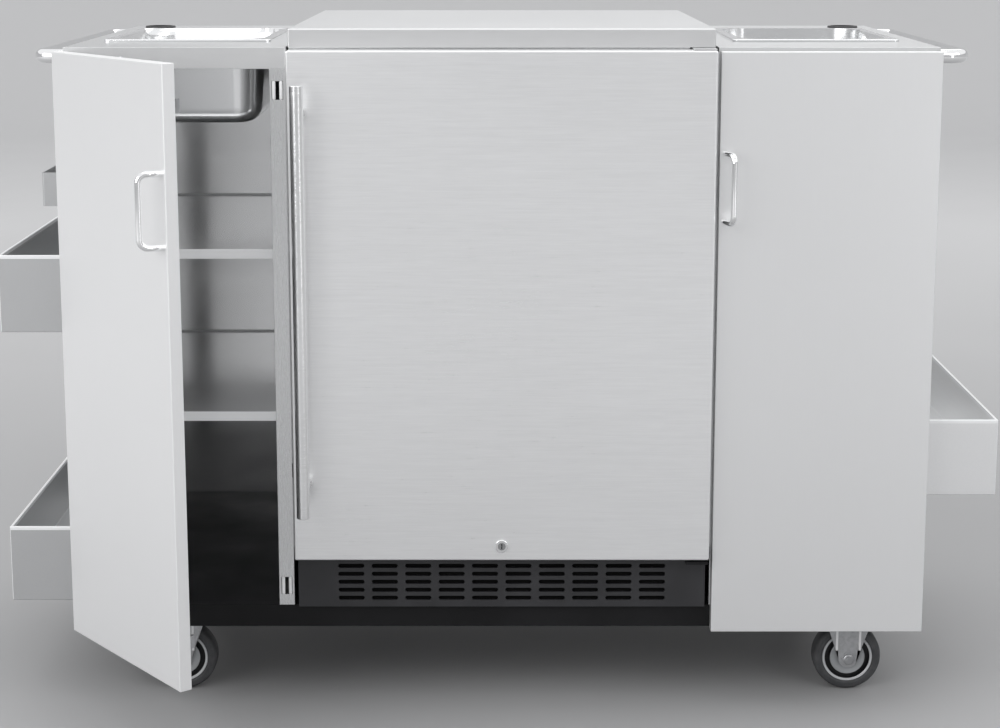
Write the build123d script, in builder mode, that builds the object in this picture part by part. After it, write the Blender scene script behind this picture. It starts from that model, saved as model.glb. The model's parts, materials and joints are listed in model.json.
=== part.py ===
import os
from math import cos, radians, sin

from build123d import *

os.makedirs("parts", exist_ok=True)

# Driving dimensions, in mm. X runs left to right, Y front to back, Z up from the floor.
body_w = 1220.0
body_d = 590.0
bay_w = 604.0
cabinet_h = 810.0
apron_h = 33.0
sheet = 1.5
base_t = 2.5
post_w = 22.0
header_h = 30.0
back_inset = 7.0
run_gap = 0.05

# Casters: swivel axis, trail and wheel.
caster_in = 113.0
caster_y = 70.0
trail = 20.0
wheel_r = 50.5
wheel_w = 32.0
wheel_gap = 5.0
rim_r = 37.5
groove_h = 9.0
axle_r = 4.0
kingpin_r = 6.0
race_r = 25.0
fork_h = 21.0
fork_t = 3.0
plate_l = 94.0
plate_w = 80.0
plate_t = 4.0
channel_h = 25.0
channel_t = 3.0

# Side doors, hung on slim hinges at the outer rear corner. The left one stands open.
door_t = 18.0
door_gap = 2.5
door_top = 5.0
door_drop = 1.0
door_reveal = 1.5
door_open = 51.0
hinge_in = 1.0
knuckle_r = 2.6
hinge_pin_r = 1.5
hinge_half = 30.0
hinge_end = 72.0
pull_r = 4.25
pull_span = 96.0
pull_down = 189.0
pull_out = 34.0
pull_edge = 8.0
pull_lean = 10.0
pull_bend = 12.0
catch_low = 63.0
catch_high = 55.0
catch_half_h = 13.0
tongue_t = 4.0
tongue_gap = 0.6
roller_out = 0.8

# Shelves, pans and grommets of the side cabinets.
shelf_heights = (287.0, 524.0)
shelf_lip = 14.0
shelf_y0 = 12.0
shelf_fit = 0.5
bracket_h = 10.0
pan_side = 33.0
pan_l = 318.0
pan_y0 = 120.0
pan_depth = 125.0
pan_flange = 13.0
pan_rise = 4.0
pan_edge = 4.0
pan_r = 45.0
pan_rim_r = 8.0
pan_floor_r = 26.0
pan_sheet = 1.2
pan_fit = 3.0
pan_draft = 4.0
grommet_in = 47.0
grommet_back = 60.0
grommet_bore = 20.0
grommet_wall = 2.0
grommet_lip = 4.5
grommet_fit = 0.2

# Rails, bin and push handles on the two ends.
rail_out = 107.0
rail_h = 111.5
rail_margin = 15.0
rail_floor = 25.0
rail_hem = 4.0
rail_hem_h = 8.0
left_rails = (2.0, 403.0)
right_rails = (162.0,)
bin_out = 71.0
bin_l = 150.0
bin_y0 = 150.0
bin_up = 566.0
bin_h = 50.0
push_r = 10.0
push_out = 42.0
push_down = 15.0
push_front = 40.0
push_back = 15.0
push_bend = 22.0

# Refrigerator.
top_t = 26.0
top_sheet = 3.0
top_fit = 4.5
top_back = 5.0
case_fit = 4.0
case_back = 15.0
case_sheet = 1.2
foam = 40.0
liner_t = 2.0
machine_d = 255.0
machine_h = 193.0
fdoor_t = 50.0
fdoor_front = -36.0
fdoor_fit = 4.5
fdoor_kick = 9.0
fdoor_top = 2.5
gasket_t = 10.0
gasket_w = 16.0
fhinge_in = 13.0
fhinge_pin_r = 4.0
bar_r = 9.5
bar_in = 18.5
bar_off = 42.0
bar_low = 76.0
bar_high = 44.5
bar_post_in = 40.0
lock_up = 22.0
lock_collar = 4.0
plug_r = 5.5
barrel_t = 2.0
cam_l = 28.0
cam_w = 10.0
rack_heights = (35.0, 185.0, 355.0)
rack_bar = 6.0
rack_wire_r = 1.6
rack_n = 17
grille_fit = 7.0
grille_h = 70.0
grille_y = -8.0
grille_t = 4.0
slot_cols = 10
slot_rows = 5
slot_w = 38.0
slot_h = 6.3
slot_margin = 57.75
slot_dz = 12.1
slot_up = 37.5
knob_r = 15.0
shaft_r = 4.0
comp_r = 72.0
comp_h = 126.0
comp_foot = 14.0
fan_up = 85.0
fan_hub_r = 14.0
fan_blade = 52.0
fan_pin_r = 3.0

# Derived sizes. The Y origin is the middle of the whole object with its left door open.
hw = body_w / 2
hb = bay_w / 2
yoke_z = 2 * wheel_r + wheel_gap
caster_h = yoke_z + fork_h
deck_z = caster_h + channel_h
counter_z = deck_z + cabinet_h
flange_z = counter_z - header_h
web_x = hw - sheet
wall_x = hb + post_w
post_x = hb + post_w / 2
back_y = body_d - back_inset
caster_x = hw - caster_in
hinge_x = hw - hinge_in
hinge_y = -(knuckle_r + 0.3)
rebate_x = hinge_x - knuckle_r - 2.9
rebate_y = hinge_y - knuckle_r - 0.6
leaf_t = (door_gap - 0.5) / 2
door_x0 = hb + door_reveal
door_front = -(door_gap + door_t)
door_z0 = deck_z - apron_h - door_drop
door_z1 = counter_z - door_top
hinge_levels = (door_z0 + hinge_end, (door_z0 + door_z1) / 2 - 0.5, door_z1 - hinge_end)
catch_levels = (door_z0 + catch_low, door_z1 - catch_high)
catch_half = post_w / 2 - sheet - 0.5
roller_r = (catch_half - 1.5 - tongue_t / 2 - tongue_gap) / 2
roller_x = tongue_t / 2 + tongue_gap + roller_r
pull_z = door_z1 - pull_down
grip_x = door_x0 + pull_edge + pull_lean
grip_y = door_front - pull_out + pull_r
swing = radians(door_open)
front_reach = hinge_y - (hinge_x - grip_x) * sin(swing) - (hinge_y - grip_y) * cos(swing) - pull_r
front_y = -(body_d + front_reach) / 2
shelf_levels = tuple(deck_z + h for h in shelf_heights)
pan_w = hw - hb - 2 * pan_side
pan_x = (hb + hw) / 2
pan_y = pan_y0 + pan_l / 2
grommet_x = hw - grommet_in
grommet_y = body_d - grommet_back
fw = hb - case_fit
lw = fw - foam
fridge_y1 = body_d - case_back
fdoor_back = fdoor_front + fdoor_t
case_y0 = fdoor_back + gasket_t
grille_z1 = deck_z + grille_h
fdoor_z0 = grille_z1 + fdoor_kick
fdoor_z1 = counter_z - fdoor_top
case_z0 = fdoor_z0 + 4.0
step_y = fridge_y1 - machine_d
step_z = deck_z + machine_h
ceiling = counter_z - foam - liner_t
dw = hb - fdoor_fit
fhinge_x = dw - fhinge_in
fhinge_y = fdoor_front + fhinge_in
rack_levels = tuple(step_z + foam + h for h in rack_heights)
lock_z = fdoor_z0 + lock_up


def block(x0, x1, y0, y1, z0, z1, mode=Mode.ADD):
    with Locations(((x0 + x1) / 2, front_y + (y0 + y1) / 2, (z0 + z1) / 2)):
        Box(abs(x1 - x0), abs(y1 - y0), abs(z1 - z0), mode=mode)


def rod_z(x, y, z0, z1, r, mode=Mode.ADD):
    with Locations((x, front_y + y, (z0 + z1) / 2)):
        Cylinder(r, abs(z1 - z0), mode=mode)


def rod_y(x, y0, y1, z, r, mode=Mode.ADD):
    with Locations((x, front_y + (y0 + y1) / 2, z)):
        Cylinder(r, abs(y1 - y0), rotation=(90, 0, 0), mode=mode)


def rod_x(x0, x1, y, z, r, mode=Mode.ADD):
    with Locations(((x0 + x1) / 2, front_y + y, z)):
        Cylinder(r, abs(x1 - x0), rotation=(0, 90, 0), mode=mode)


def bent_rod(points, bend, r):
    with BuildPart() as rod:
        with BuildLine() as path:
            FilletPolyline(*[(x, front_y + y, z) for x, y, z in points], radius=bend)
        with BuildSketch(Plane(origin=path.line @ 0, z_dir=path.line % 0)):
            Circle(r)
        sweep()
    return rod.part


def save(shape, label):
    shape.label = label
    export_step(shape, f"parts/{label}.step")


def opened(shape):
    # A piece of the left door, turned from shut to where it stands.
    return shape.rotate(Axis((-hinge_x, front_y + hinge_y, 0), (0, 0, 1)), -door_open)


# Black base: a deck with a turned-down apron all round and two channels that carry the casters.
inner_x = hw - base_t
inner_y = body_d - base_t
under_z = deck_z - base_t
channel_w = plate_l / 2 + 8
with BuildPart() as base:
    block(-hw, hw, 0, body_d, deck_z - apron_h, deck_z)
    block(-inner_x, inner_x, base_t, inner_y, deck_z - apron_h, under_z, Mode.SUBTRACT)
    for s in (-1, 1):
        x0 = s * caster_x - channel_w
        x1 = s * caster_x + channel_w
        block(x0, x1, base_t, inner_y, caster_h, under_z)
        block(x0 + channel_t, x1 - channel_t, base_t, inner_y, caster_h + channel_t, under_z, Mode.SUBTRACT)
save(base.part, "base_pan")


def side_wrapper(s):
    # One bent sheet: end wall, front return for the hinges, rear return and the cabinet's back.
    with BuildPart() as wrap:
        block(s * web_x, s * hw, sheet, body_d, deck_z, counter_z - sheet)
        block(s * (hw - 24), s * hw, 0, sheet, deck_z, flange_z)
        block(s * wall_x, s * web_x, back_y, back_y + sheet, deck_z, counter_z - sheet)
    return wrap.part


def divider(s):
    # Double wall between a cabinet and the bay, with a front post cut for the roller catches.
    x0 = s * (hb + sheet)
    x1 = s * (wall_x - sheet)
    slot = catch_half - 1
    with BuildPart() as wall:
        block(s * hb, s * wall_x, sheet, body_d, deck_z, counter_z - sheet)
        block(x0, x1, sheet, body_d - sheet, deck_z, counter_z - sheet, Mode.SUBTRACT)
        block(s * hb, s * wall_x, 0, sheet, deck_z, flange_z)
        for z in catch_levels:
            z0 = z - catch_half_h
            z1 = z + catch_half_h
            block(s * (post_x - slot), s * (post_x + slot), 0, sheet, z0, z1, Mode.SUBTRACT)
    return wall.part


def counter(s):
    # Stainless top with a turned-down front, cut for the pan and the grommet.
    hole_w = pan_w - 2 * pan_flange + 2 * pan_fit
    hole_l = pan_l - 2 * pan_flange + 2 * pan_fit
    hole_r = grommet_bore + grommet_wall + grommet_fit
    with BuildPart() as top:
        block(s * hb, s * hw, 0, body_d, counter_z - sheet, counter_z)
        block(s * hb, s * hw, 0, sheet, flange_z, counter_z - sheet)
        with BuildSketch(Plane.XY.offset(counter_z)):
            with Locations((s * pan_x, front_y + pan_y)):
                RectangleRounded(hole_w, hole_l, pan_r + pan_fit)
        extrude(amount=-sheet, mode=Mode.SUBTRACT)
        rod_z(s * grommet_x, grommet_y, counter_z - sheet, counter_z, hole_r, Mode.SUBTRACT)
    return top.part


rim_z = counter_z + pan_rise
mouth_w = pan_w - 2 * pan_flange
mouth_l = pan_l - 2 * pan_flange


def bowl(s, inset):
    # Tapered bowl with rounded corners and floor, drawn in by the inset.
    with BuildPart() as form:
        with BuildSketch(Plane.XY.offset(rim_z)):
            with Locations((s * pan_x, front_y + pan_y)):
                RectangleRounded(mouth_w - 2 * inset, mouth_l - 2 * inset, pan_r - inset)
        extrude(amount=-(pan_depth - inset), taper=pan_draft)
        fillet(form.faces().sort_by(Axis.Z)[0].edges(), radius=pan_floor_r - inset)
    return form.part


def pan(s):
    # Drop-in pan: the bowl hangs from a raised rim with a rolled edge.
    outside = bowl(s, 0)
    inside = bowl(s, pan_sheet)
    under_w = pan_w - 2 * pan_edge
    under_l = pan_l - 2 * pan_edge
    with BuildPart() as dish:
        add(outside)
        with BuildSketch(Plane.XY.offset(counter_z)):
            with Locations((s * pan_x, front_y + pan_y)):
                RectangleRounded(pan_w, pan_l, pan_rim_r)
        extrude(amount=pan_rise)
        fillet(dish.faces().sort_by(Axis.Z)[-1].edges(), radius=0.4 * pan_rise)
        with BuildSketch(Plane.XY.offset(counter_z)):
            with Locations((s * pan_x, front_y + pan_y)):
                RectangleRounded(under_w, under_l, pan_rim_r - 0.7 * pan_edge)
                RectangleRounded(mouth_w, mouth_l, pan_r, mode=Mode.SUBTRACT)
        extrude(amount=pan_rise - pan_sheet, mode=Mode.SUBTRACT)
        add(inside, mode=Mode.SUBTRACT)
    return dish.part


for s, side in ((-1, "left"), (1, "right")):
    save(side_wrapper(s), f"{side}_side_panel")
    save(divider(s), f"{side}_divider")
    save(counter(s), f"{side}_counter")
    save(pan(s), f"{side}_pan")

# Black grommets near the rear corners of the two counters.
with BuildPart() as grommets:
    for s in (-1, 1):
        rod_z(s * grommet_x, grommet_y, counter_z, counter_z + 3, grommet_bore + grommet_lip)
        rod_z(s * grommet_x, grommet_y, counter_z - 14, counter_z, grommet_bore + grommet_wall)
    fillet(grommets.faces().sort_by(Axis.Z)[-2:].edges(), radius=1.5)
    for s in (-1, 1):
        rod_z(s * grommet_x, grommet_y, counter_z - 14, counter_z + 3, grommet_bore, Mode.SUBTRACT)
save(grommets.part, "grommets")

# Two stainless shelves in each cabinet, with lips turned down on all four sides.
shelf_y1 = back_y - shelf_fit
with BuildPart() as shelves:
    for s in (-1, 1):
        for z in shelf_levels:
            x0 = s * (wall_x + shelf_fit)
            x1 = s * (web_x - shelf_fit)
            y0 = shelf_y0 + sheet
            y1 = shelf_y1 - sheet
            block(x0, x1, shelf_y0, shelf_y1, z - shelf_lip, z)
            block(x0 + s * sheet, x1 - s * sheet, y0, y1, z - shelf_lip, z - sheet, Mode.SUBTRACT)
save(shelves.part, "cabinet_shelves")

# Twin roller catches set in the posts: a housing and two upright rollers each.
with BuildPart() as catches:
    for s in (-1, 1):
        x0 = s * (post_x - catch_half)
        x1 = s * (post_x + catch_half)
        for z in catch_levels:
            z0 = z - catch_half_h - 0.3
            z1 = z + catch_half_h + 0.3
            block(x0, x1, sheet, 14, z - catch_half_h - 4, z + catch_half_h + 4)
            block(x0 + s, x1 - s, sheet, 12.5, z0, z1, Mode.SUBTRACT)
            for dx in (-roller_x, roller_x):
                rod_z(s * post_x + dx, roller_r - roller_out, z - catch_half_h, z + catch_half_h, roller_r)
    fillet(catches.edges().filter_by(GeomType.CIRCLE), radius=0.6 * roller_r)
save(catches.part, "roller_catches")


def leaf(s, z, y0, y1, knuckles):
    # A flat leaf with its knuckles, on the hinge axis of one side.
    x0 = s * (hinge_x - 21)
    x1 = s * (hinge_x - knuckle_r - 1.9)
    bore = hinge_pin_r + run_gap
    block(x0, x1, y0, y1, z - hinge_half, z + hinge_half)
    for z0, z1 in knuckles:
        block(x1, s * hinge_x, y0, y1, z + z0, z + z1)
        rod_z(s * hinge_x, hinge_y, z + z0, z + z1, knuckle_r)
    rod_z(s * hinge_x, hinge_y, z - hinge_half, z + hinge_half, bore, Mode.SUBTRACT)


# Fixed hinge leaves on the front returns, and the hinge pins.
third = hinge_half / 3
with BuildPart() as leaves:
    for s in (-1, 1):
        for z in hinge_levels:
            leaf(s, z, -leaf_t, 0.0, ((-hinge_half, -third - 0.2), (third + 0.2, hinge_half)))
    for s in (-1, 1):
        for z in hinge_levels:
            rod_z(s * hinge_x, hinge_y, z - hinge_half, z + hinge_half, hinge_pin_r)
save(leaves.part, "hinge_leaves")


def door_skin(s):
    # Outer pan of a side door, rebated along the hinge edge.
    x0 = s * door_x0
    x1 = s * hw
    z0 = door_z0 + sheet
    z1 = door_z1 - sheet
    with BuildPart() as skin:
        block(x0, x1, door_front, -door_gap, door_z0, door_z1)
        fillet(skin.faces().sort_by(Axis.Y)[0].edges(), radius=0.8 * sheet)
        block(x0 + s * sheet, x1 - s * sheet, door_front + sheet, -door_gap, z0, z1, Mode.SUBTRACT)
        block(s * rebate_x, x1, rebate_y, -door_gap, door_z0, door_z1, Mode.SUBTRACT)
    return skin.part


def door_inner(s):
    # Inner sheet that closes the pan, stepped forward behind the hinge.
    x0 = s * (door_x0 + sheet)
    x1 = s * rebate_x
    z0 = door_z0 + sheet
    z1 = door_z1 - sheet
    with BuildPart() as inner:
        block(x0, x1, -door_gap - sheet, -door_gap, z0, z1)
        block(x1 - s * sheet, x1, rebate_y - sheet, -door_gap, z0, z1)
        block(x1 - s * sheet, s * (hw - sheet), rebate_y - sheet, rebate_y, z0, z1)
    return inner.part


def door_pull(s):
    # Bent rod pull near the free edge, leaning a little toward the hinge.
    foot = s * (door_x0 + pull_edge)
    grip = s * grip_x
    root = foot - 0.1 * (grip - foot)
    deep = door_front + 0.1 * (door_front - grip_y)
    z0 = pull_z - pull_span / 2
    z1 = pull_z + pull_span / 2
    route = ((root, deep, z0), (grip, grip_y, z0), (grip, grip_y, z1), (root, deep, z1))
    rod = bent_rod(route, pull_bend, pull_r)
    with BuildPart() as pull:
        add(rod)
        block(foot - 20, foot + 20, door_front, door_front + 12, z0 - 20, z1 + 20, Mode.SUBTRACT)
    return pull.part


def door_fittings(s):
    # Moving hinge leaves and the tongues that enter the roller catches.
    with BuildPart() as fittings:
        for z in hinge_levels:
            leaf(s, z, -door_gap, -door_gap + leaf_t, ((-third + 0.2, third - 0.2),))
        for z in catch_levels:
            block(s * (post_x - 6), s * (post_x + 8), -door_gap, -door_gap + 1.2, z - 15, z + 15)
            block(s * post_x - tongue_t / 2, s * post_x + tongue_t / 2, -door_gap, 8, z - 9, z + 9)
    return fittings.part


for s, side in ((-1, "left"), (1, "right")):
    pieces = {
        "skin": door_skin(s),
        "inner": door_inner(s),
        "pull": door_pull(s),
        "fittings": door_fittings(s),
    }
    for name, shape in pieces.items():
        save(opened(shape) if side == "left" else shape, f"{side}_door_{name}")


def rail(s, z0):
    # Open-topped bottle rail with a raised floor and a folded hem round the rim.
    x0 = s * hw
    x1 = s * (hw + rail_out)
    y0 = rail_margin
    y1 = body_d - rail_margin
    in_x0 = x0 + s * sheet
    in_x1 = x1 - s * sheet
    in_y0 = y0 + sheet
    in_y1 = y1 - sheet
    lip_z = z0 + rail_h - rail_hem_h
    hem_x0 = x0 + s * rail_hem
    hem_x1 = x1 - s * rail_hem
    with BuildPart() as tray:
        block(x0, x1, y0, y1, z0, z0 + rail_h)
        block(in_x0, in_x1, in_y0, in_y1, z0, z0 + rail_floor, Mode.SUBTRACT)
        block(in_x0, in_x1, in_y0, in_y1, z0 + rail_floor + sheet, lip_z, Mode.SUBTRACT)
        block(hem_x0, hem_x1, y0 + rail_hem, y1 - rail_hem, lip_z, z0 + rail_h, Mode.SUBTRACT)
        fillet(tray.faces().sort_by(Axis.Z)[-1].edges(), radius=0.7)
    return tray.part


for up, name in zip(left_rails, ("left_lower_rail", "left_upper_rail")):
    save(rail(-1, deck_z + up), name)
for up in right_rails:
    save(rail(1, deck_z + up), "right_rail")

# Small open bin on the left end.
bin_x = -hw - bin_out
bin_y1 = bin_y0 + bin_l
bin_z0 = deck_z + bin_up
bin_z1 = bin_z0 + bin_h
with BuildPart() as bin_box:
    block(bin_x, -hw, bin_y0, bin_y1, bin_z0, bin_z1)
    fillet(bin_box.edges().filter_by(Axis.Z).sort_by(Axis.X)[:2], radius=2 * sheet)
    block(bin_x + sheet, -hw - sheet, bin_y0 + sheet, bin_y1 - sheet, bin_z0 + sheet, bin_z1, Mode.SUBTRACT)
save(bin_box.part, "side_bin")

# Small fixings: shelf brackets, screws of the rails and the bin, a button on each counter front.
with BuildPart() as fixings:
    for s in (-1, 1):
        for z in shelf_levels:
            z1 = z - shelf_lip
            for y in (80.0, body_d - 90.0):
                block(s * wall_x, s * (wall_x + 12), y, y + 24, z1 - bracket_h, z1)
                block(s * (web_x - 12), s * web_x, y, y + 24, z1 - bracket_h, z1)
    for s, levels in ((-1, left_rails), (1, right_rails)):
        for up in levels:
            for y in (rail_margin + 70, body_d - rail_margin - 70):
                rod_x(s * (hw + sheet), s * (hw + sheet + 2.4), y, deck_z + up + rail_h - 31.5, 5.5)
        rod_y(s * (hw - 82), -1.4, 0, flange_z + header_h / 2 - 1, 3.5)
    for y in (bin_y0 + 40, bin_y1 - 40):
        rod_x(-hw - sheet - 2.4, -hw - sheet, y, bin_z1 - 18, 4.5)
save(fixings.part, "cabinet_fixings")


def push_handle(s):
    # Bent tube along the end of the cart, on two round feet.
    out = s * (hw + push_out)
    z = counter_z - push_down
    y1 = body_d - push_back
    route = ((s * hw, push_front, z), (out, push_front, z), (out, y1, z), (s * hw, y1, z))
    tube = bent_rod(route, push_bend, push_r)
    with BuildPart() as handle:
        add(tube)
        for y in (push_front, y1):
            rod_x(s * hw, s * (hw + 3), y, z, push_r + 4)
    return handle.part


left_push = push_handle(-1)
right_push = push_handle(1)
with BuildPart() as handles:
    add(left_push)
    add(right_push)
save(handles.part, "push_handles")

# Raised worktop over the refrigerator: a sheet cap with a skirt that rests on the case.
top_x = hb - top_fit
top_y = body_d - top_back
top_z = counter_z + top_t
cap_x = top_x - top_sheet
with BuildPart() as cap:
    block(-top_x, top_x, 0, top_y, counter_z, top_z)
    fillet(cap.faces().sort_by(Axis.Z)[-1].edges(), radius=2.5)
    fillet(cap.edges().filter_by(Axis.Z), radius=2.0)
    block(-cap_x, cap_x, top_sheet, top_y - top_sheet, counter_z, top_z - top_sheet, Mode.SUBTRACT)
save(cap.part, "center_top")


def stepped(inset, y0, half):
    # Insulated box, stepped up over the machine space, drawn inset from the case.
    floor_z = case_z0 + inset
    back = front_y + fridge_y1 - inset
    step = front_y + step_y - inset
    with BuildPart() as box:
        with BuildSketch(Plane.YZ.offset(-half)):
            with BuildLine():
                Polyline(
                    (front_y + y0, floor_z),
                    (step, floor_z),
                    (step, step_z + inset),
                    (back, step_z + inset),
                    (back, counter_z - inset),
                    (front_y + y0, counter_z - inset),
                    close=True,
                )
            make_face()
        extrude(amount=2 * half)
    return box.part


# Steel case: stepped box with a front frame, skirts and a base plate for the machine space.
mouth_x = lw - liner_t
mouth_z0 = case_z0 + foam + liner_t
case_y = case_y0 + case_sheet
case_out = stepped(0, case_y0, fw)
case_in = stepped(case_sheet, case_y, fw - case_sheet)
with BuildPart() as case:
    add(case_out)
    add(case_in, mode=Mode.SUBTRACT)
    block(-mouth_x, mouth_x, case_y0, case_y, mouth_z0, ceiling, Mode.SUBTRACT)
    for s in (-1, 1):
        block(s * (fw - case_sheet), s * fw, case_y0, step_y, deck_z, case_z0)
        block(s * (fw - case_sheet), s * fw, step_y, fridge_y1, deck_z, step_z)
    block(-fw, fw, case_y0, case_y, grille_z1 - 3, case_z0)
    block(-fw, fw, case_y0 + 40, fridge_y1, deck_z, deck_z + case_sheet)
save(case.part, "fridge_case")

# White liner with three pairs of ledges for the racks.
ledge_x = lw - 14
ledge_y1 = fridge_y1 - foam - 25
liner_out = stepped(foam, case_y, lw)
liner_in = stepped(foam + liner_t, case_y, lw - liner_t)
with BuildPart() as liner:
    add(liner_out)
    add(liner_in, mode=Mode.SUBTRACT)
    for s in (-1, 1):
        for z in rack_levels:
            block(s * mouth_x, s * ledge_x, case_y0 + 40, ledge_y1, z - 9, z)
save(liner.part, "fridge_liner")

# Three wire racks on the ledges.
rack_x = mouth_x - 3
rack_y0 = case_y0 + 45
rack_y1 = ledge_y1 - 5
bar_y0 = rack_y0 + rack_bar
bar_y1 = rack_y1 - rack_bar
wire_up = rack_bar + rack_wire_r - 1
with BuildPart() as racks:
    for z in rack_levels:
        block(-rack_x, rack_x, rack_y0, rack_y1, z, z + rack_bar)
        block(-rack_x + rack_bar, rack_x - rack_bar, bar_y0, bar_y1, z, z + rack_bar, Mode.SUBTRACT)
        for i in range(1, rack_n + 1):
            x = -rack_x + i * 2 * rack_x / (rack_n + 1)
            rod_y(x, rack_y0 + 1, rack_y1 - 1, z + wire_up, rack_wire_r)
save(racks.part, "fridge_racks")

# Cover of the evaporator on the back of the liner, with air slots.
evap_x = lw - 68
evap_y1 = fridge_y1 - foam - liner_t
evap_z0 = ceiling - 145
evap_z1 = ceiling - 15
with BuildPart() as evap:
    block(-evap_x, evap_x, evap_y1 - 26, evap_y1, evap_z0, evap_z1)
    fillet(evap.edges().filter_by(Axis.Z).sort_by(Axis.Y)[:2], radius=6)
    block(-evap_x + 3, evap_x - 3, evap_y1 - 23, evap_y1, evap_z0 + 3, evap_z1 - 3, Mode.SUBTRACT)
    for i in range(5):
        z0 = evap_z0 + 25 + i * 20
        for x in (-evap_x / 2, evap_x / 2):
            block(x - 70, x + 70, evap_y1 - 26, evap_y1 - 23, z0, z0 + 6, Mode.SUBTRACT)
save(evap.part, "evaporator_cover")

# Control box under the ceiling of the liner, and its turning knob.
knob_x = 50.0
knob_y = case_y0 + 60
knob_z = ceiling - 21
with BuildPart() as control:
    block(-95, 95, knob_y, knob_y + 70, ceiling - 42, ceiling)
    fillet(control.edges().filter_by(Axis.X).sort_by(Axis.Z)[:2], radius=6)
    rod_y(knob_x, knob_y, knob_y + 14, knob_z, shaft_r + run_gap, Mode.SUBTRACT)
save(control.part, "control_box")
with BuildPart() as knob:
    rod_y(knob_x, knob_y - 14, knob_y - 0.5, knob_z, knob_r)
    fillet(knob.faces().sort_by(Axis.Y)[0].edges(), radius=1.5)
    rod_y(knob_x, knob_y - 0.5, knob_y + 12, knob_z, shaft_r)
    block(knob_x - 1, knob_x + 1, knob_y - 15, knob_y - 13, knob_z + shaft_r, knob_z + knob_r - 1)
save(knob.part, "thermostat_knob")

# Machine space: compressor, finned condenser and the fan between them.
mach_z = deck_z + case_sheet
comp_x = -fw + 128
comp_y = fridge_y1 - 115
comp_z = mach_z + comp_foot
with BuildPart() as comp:
    rod_z(comp_x, comp_y, comp_z, comp_z + comp_h, comp_r)
    fillet(comp.faces().sort_by(Axis.Z)[-1].edges(), radius=40)
    fillet(comp.faces().sort_by(Axis.Z)[0].edges(), radius=20)
    block(comp_x - 90, comp_x + 90, comp_y - 30, comp_y + 30, comp_z - 4, comp_z + 4)
    for dx in (-78, 78):
        for dy in (-22, 22):
            rod_z(comp_x + dx, comp_y + dy, mach_z, comp_z - 4, 9)
save(comp.part, "compressor")
cond_x = fw - 180
cond_y0 = fridge_y1 - 195
cond_y1 = fridge_y1 - 25
fan_x = cond_x - 35
fan_y = fridge_y1 - 120
fan_z = mach_z + fan_up
with BuildPart() as cond:
    for i in range(15):
        x = cond_x + 12 + i * 8
        block(x, x + 2, cond_y0 + 5, cond_y1 - 5, mach_z + 6, step_z - 21.8)
    for z in (30, 60, 90, 120, 150):
        for y in (cond_y0 + 40, cond_y1 - 40):
            rod_x(cond_x + 4, cond_x + 134, y, mach_z + z, 5)
    block(cond_x, cond_x + 4, cond_y0, cond_y1, mach_z, step_z - 15.8)
    rod_x(cond_x, cond_x + 4, fan_y, fan_z, fan_hub_r + fan_blade + 2, Mode.SUBTRACT)
    for dz in (-3, 3):
        block(cond_x, cond_x + 4, cond_y0, cond_y1, fan_z + dz - 2, fan_z + dz + 2)
    rod_x(fan_x + 13, cond_x, fan_y, fan_z, 20)
    rod_x(fan_x + 3, fan_x + 13, fan_y, fan_z, fan_pin_r)
save(cond.part, "condenser")
with BuildPart() as fan:
    rod_x(fan_x - 9, fan_x + 9, fan_y, fan_z, fan_hub_r)
    for i in range(5):
        with Locations(Location((fan_x, front_y + fan_y, fan_z), (i * 72, 0, 0))):
            with Locations(Location((0, 0, fan_hub_r - 4 + fan_blade / 2), (0, 0, 28))):
                Box(2, 26, fan_blade)
    rod_x(fan_x - 13, fan_x + 14, fan_y, fan_z, fan_pin_r + run_gap, Mode.SUBTRACT)
save(fan.part, "condenser_fan")

# Black gland where the supply leaves the case.
gland_x = -fw + 98
gland_z = step_z + 55
with BuildPart() as gland:
    rod_y(gland_x, fridge_y1, fridge_y1 + 4, gland_z, 13)
    rod_y(gland_x, fridge_y1 + 4, fridge_y1 + 13, gland_z, 9)
    rod_y(gland_x, fridge_y1, fridge_y1 + 13, gland_z, 4.5, Mode.SUBTRACT)
save(gland.part, "cord_gland")

# Slotted kick grille with returns to the case.
gw = hb - grille_fit
slot_dx = (2 * gw - 2 * slot_margin - slot_w) / (slot_cols - 1)
with BuildPart() as grille:
    block(-gw, gw, grille_y, grille_y + grille_t, deck_z, grille_z1)
    for s in (-1, 1):
        block(s * (gw - 3), s * gw, grille_y + grille_t, case_y0, deck_z, grille_z1)
    with BuildSketch(Plane.XZ.offset(-front_y - grille_y)):
        with Locations((0, deck_z + slot_up)):
            with GridLocations(slot_dx, slot_dz, slot_cols, slot_rows):
                SlotOverall(slot_w, slot_h)
    extrude(amount=-grille_t, mode=Mode.SUBTRACT)
save(grille.part, "kick_grille")

# Hinge brackets of the refrigerator door, with their pins.
plates_z = (
    (grille_z1 + 1, fdoor_z0 - 4, grille_z1 + 1, fdoor_z0 + 12, fdoor_z0 - 4, fdoor_z0 + 19),
    (fdoor_z1 + 0.5, counter_z - 0.5, fdoor_z1 - 10, counter_z - 0.5, fdoor_z1 - 21, fdoor_z1 + 0.5),
)
with BuildPart() as fhinges:
    for z0, z1, tab0, tab1, pin0, pin1 in plates_z:
        block(fhinge_x - 20, fhinge_x + 12, fhinge_y - 8, case_y0, z0, z1)
        block(fhinge_x - 20, fhinge_x + 12, case_y0 - 2.5, case_y0, tab0, tab1)
        rod_z(fhinge_x, fhinge_y, pin0, pin1, fhinge_pin_r)
save(fhinges.part, "fridge_hinges")

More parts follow.
